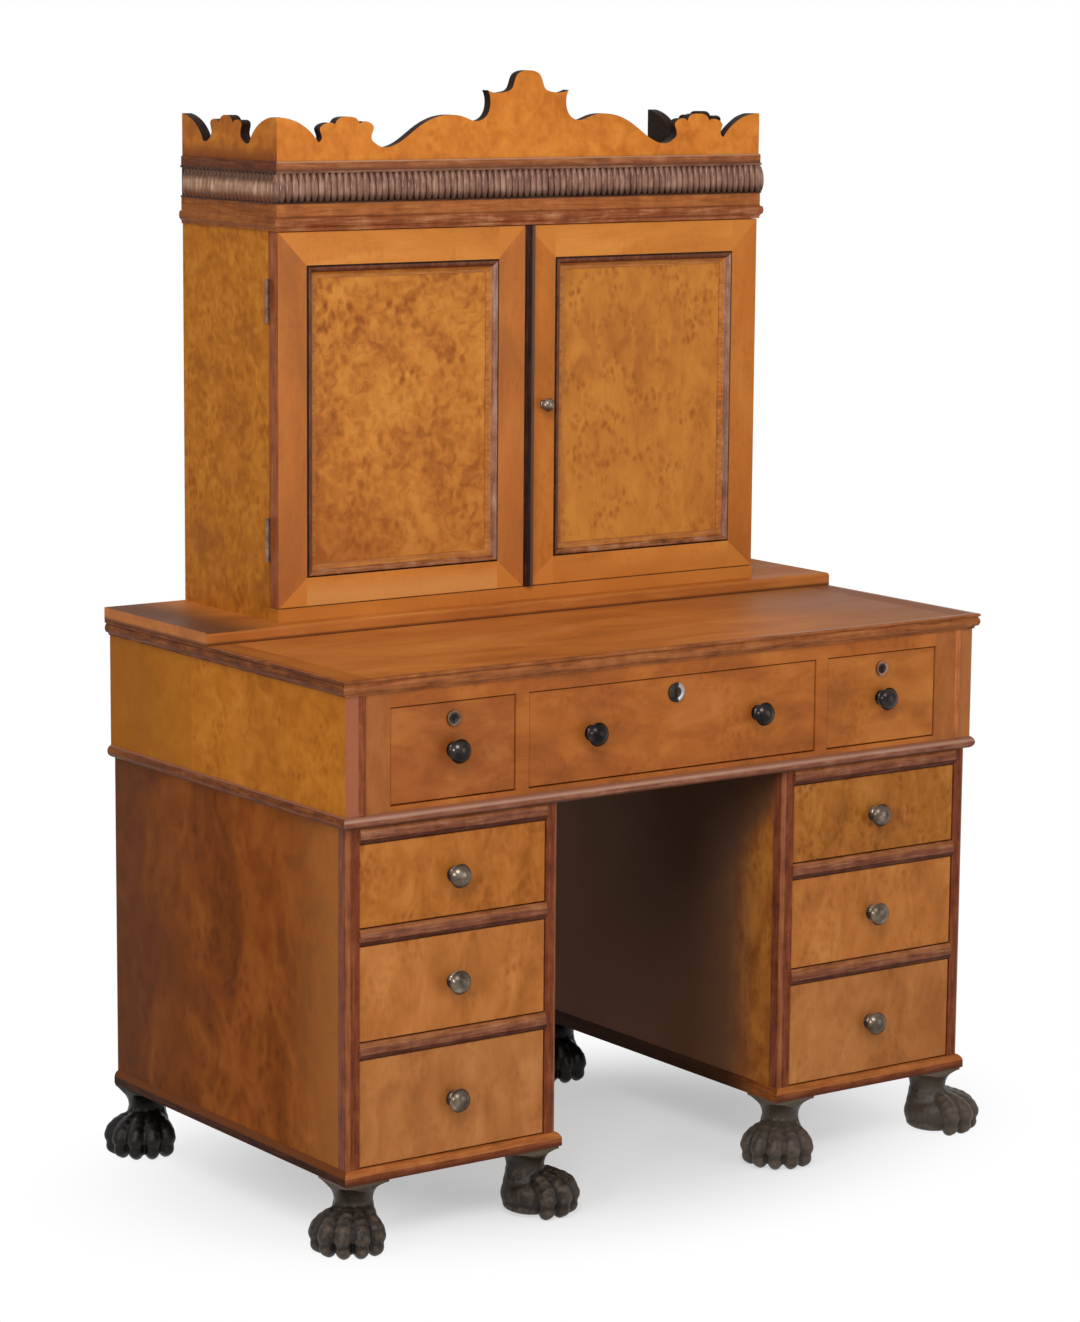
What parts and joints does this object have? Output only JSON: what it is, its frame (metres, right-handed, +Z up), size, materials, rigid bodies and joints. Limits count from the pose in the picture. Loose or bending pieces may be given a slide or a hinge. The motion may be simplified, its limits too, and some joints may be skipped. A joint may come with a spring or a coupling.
{
  "type": "pedestal desk",
  "caption": "Pedestal desk on paw feet with frieze drawers, a kneehole between banks of drawers, and on its top a cabinet with panelled doors and a shaped gallery.",
  "frame": {"origin": "on the floor under the middle of the bounding box", "axes": "+Z up, +X to the sitter's right as seen from the front, the drawers open towards -Y"},
  "size_m": [1.1472, 0.6532, 1.54],
  "materials": {
    "burr_veneer": "polished burr veneer",
    "top_veneer": "polished straight-grained veneer",
    "moulding_wood": "polished dark moulding",
    "ebonised_wood": "stained and polished",
    "bronzed_wood": "carved and bronzed",
    "drawer_oak": "planed, unpolished",
    "bronze": "patinated",
    "brass": "aged"
  },
  "bodies": {
    "root": {"pedestal_carcases": "burr_veneer", "frieze_carcase": "burr_veneer", "frieze_face": "burr_veneer", "cabinet_carcase": "burr_veneer", "gallery": "burr_veneer", "writing_top": "top_veneer", "platform": "top_veneer", "pedestal_bases": "moulding_wood", "pedestal_posts": "moulding_wood", "pedestal_rails": "moulding_wood", "frieze_bead": "moulding_wood", "top_edge_moulding": "moulding_wood", "cornice": "moulding_wood", "reeded_moulding": "ebonised_wood", "paw_feet": "bronzed_wood", "drawer_runners": "drawer_oak", "cabinet_hinge_leaves": "brass"},
    "left_bottom_drawer": {"left_bottom_drawer_front": "burr_veneer", "left_bottom_drawer_box": "drawer_oak", "left_bottom_drawer_knob": "bronze"},
    "left_middle_drawer": {"left_middle_drawer_front": "burr_veneer", "left_middle_drawer_box": "drawer_oak", "left_middle_drawer_knob": "bronze"},
    "left_top_drawer": {"left_top_drawer_front": "burr_veneer", "left_top_drawer_box": "drawer_oak", "left_top_drawer_knob": "bronze"},
    "right_bottom_drawer": {"right_bottom_drawer_front": "burr_veneer", "right_bottom_drawer_box": "drawer_oak", "right_bottom_drawer_knob": "bronze"},
    "right_middle_drawer": {"right_middle_drawer_front": "burr_veneer", "right_middle_drawer_box": "drawer_oak", "right_middle_drawer_knob": "bronze"},
    "right_top_drawer": {"right_top_drawer_front": "burr_veneer", "right_top_drawer_box": "drawer_oak", "right_top_drawer_knob": "bronze"},
    "frieze_left_drawer": {"frieze_left_drawer_front": "burr_veneer", "frieze_left_drawer_box": "drawer_oak", "frieze_left_drawer_knob": "bronze", "frieze_left_drawer_lock": "brass"},
    "frieze_left_drawer_lock_bolt": {"frieze_left_drawer_bolt": "brass"},
    "frieze_centre_drawer": {"frieze_centre_drawer_front": "burr_veneer", "frieze_centre_drawer_box": "drawer_oak", "frieze_centre_drawer_knobs": "bronze", "frieze_centre_drawer_lock": "brass"},
    "frieze_centre_drawer_lock_bolt": {"frieze_centre_drawer_bolt": "brass"},
    "frieze_right_drawer": {"frieze_right_drawer_front": "burr_veneer", "frieze_right_drawer_box": "drawer_oak", "frieze_right_drawer_knob": "bronze", "frieze_right_drawer_lock": "brass"},
    "frieze_right_drawer_lock_bolt": {"frieze_right_drawer_bolt": "brass"},
    "left_door": {"left_door_frame": "burr_veneer", "left_door_panel": "burr_veneer", "left_door_moulding": "moulding_wood", "left_door_hinge_leaves": "brass"},
    "right_door": {"right_door_frame": "burr_veneer", "right_door_panel": "burr_veneer", "right_door_moulding": "moulding_wood", "right_door_hinge_leaves": "brass", "door_meeting_bead": "ebonised_wood"},
    "catch": {"door_catch": "brass"}
  },
  "joints": [
    {"name": "left_bottom_drawer_slide", "type": "slide", "parent": "root", "child": "left_bottom_drawer", "axis": [0, -1, 0], "range_m": [0, 0.4]},
    {"name": "left_middle_drawer_slide", "type": "slide", "parent": "root", "child": "left_middle_drawer", "axis": [0, -1, 0], "range_m": [0, 0.4]},
    {"name": "left_top_drawer_slide", "type": "slide", "parent": "root", "child": "left_top_drawer", "axis": [0, -1, 0], "range_m": [0, 0.4]},
    {"name": "right_bottom_drawer_slide", "type": "slide", "parent": "root", "child": "right_bottom_drawer", "axis": [0, -1, 0], "range_m": [0, 0.4]},
    {"name": "right_middle_drawer_slide", "type": "slide", "parent": "root", "child": "right_middle_drawer", "axis": [0, -1, 0], "range_m": [0, 0.4]},
    {"name": "right_top_drawer_slide", "type": "slide", "parent": "root", "child": "right_top_drawer", "axis": [0, -1, 0], "range_m": [0, 0.4]},
    {"name": "frieze_left_drawer_slide", "type": "slide", "parent": "root", "child": "frieze_left_drawer", "axis": [0, -1, 0], "range_m": [0, 0.4]},
    {"name": "frieze_left_drawer_bolt_slide", "type": "slide", "parent": "frieze_left_drawer", "child": "frieze_left_drawer_lock_bolt", "axis": [0, 0, 1], "range_m": [0, 0.008]},
    {"name": "frieze_centre_drawer_slide", "type": "slide", "parent": "root", "child": "frieze_centre_drawer", "axis": [0, -1, 0], "range_m": [0, 0.4]},
    {"name": "frieze_centre_drawer_bolt_slide", "type": "slide", "parent": "frieze_centre_drawer", "child": "frieze_centre_drawer_lock_bolt", "axis": [0, 0, 1], "range_m": [0, 0.008]},
    {"name": "frieze_right_drawer_slide", "type": "slide", "parent": "root", "child": "frieze_right_drawer", "axis": [0, -1, 0], "range_m": [0, 0.4]},
    {"name": "frieze_right_drawer_bolt_slide", "type": "slide", "parent": "frieze_right_drawer", "child": "frieze_right_drawer_lock_bolt", "axis": [0, 0, 1], "range_m": [0, 0.008]},
    {"name": "left_door_hinge", "type": "hinge", "parent": "root", "child": "left_door", "pos_m": [-0.4193, 0.09201, 1.065], "axis": [0, 0, -1], "range_deg": [0, 170]},
    {"name": "right_door_hinge", "type": "hinge", "parent": "root", "child": "right_door", "pos_m": [0.4193, 0.09201, 1.065], "axis": [0, 0, 1], "range_deg": [0, 170]},
    {"name": "door_catch_turn", "type": "hinge", "parent": "right_door", "child": "catch", "pos_m": [0.03, 0.08031, 1.06759], "axis": [0, 1, 0], "range_deg": [0, 90]}
  ]
}
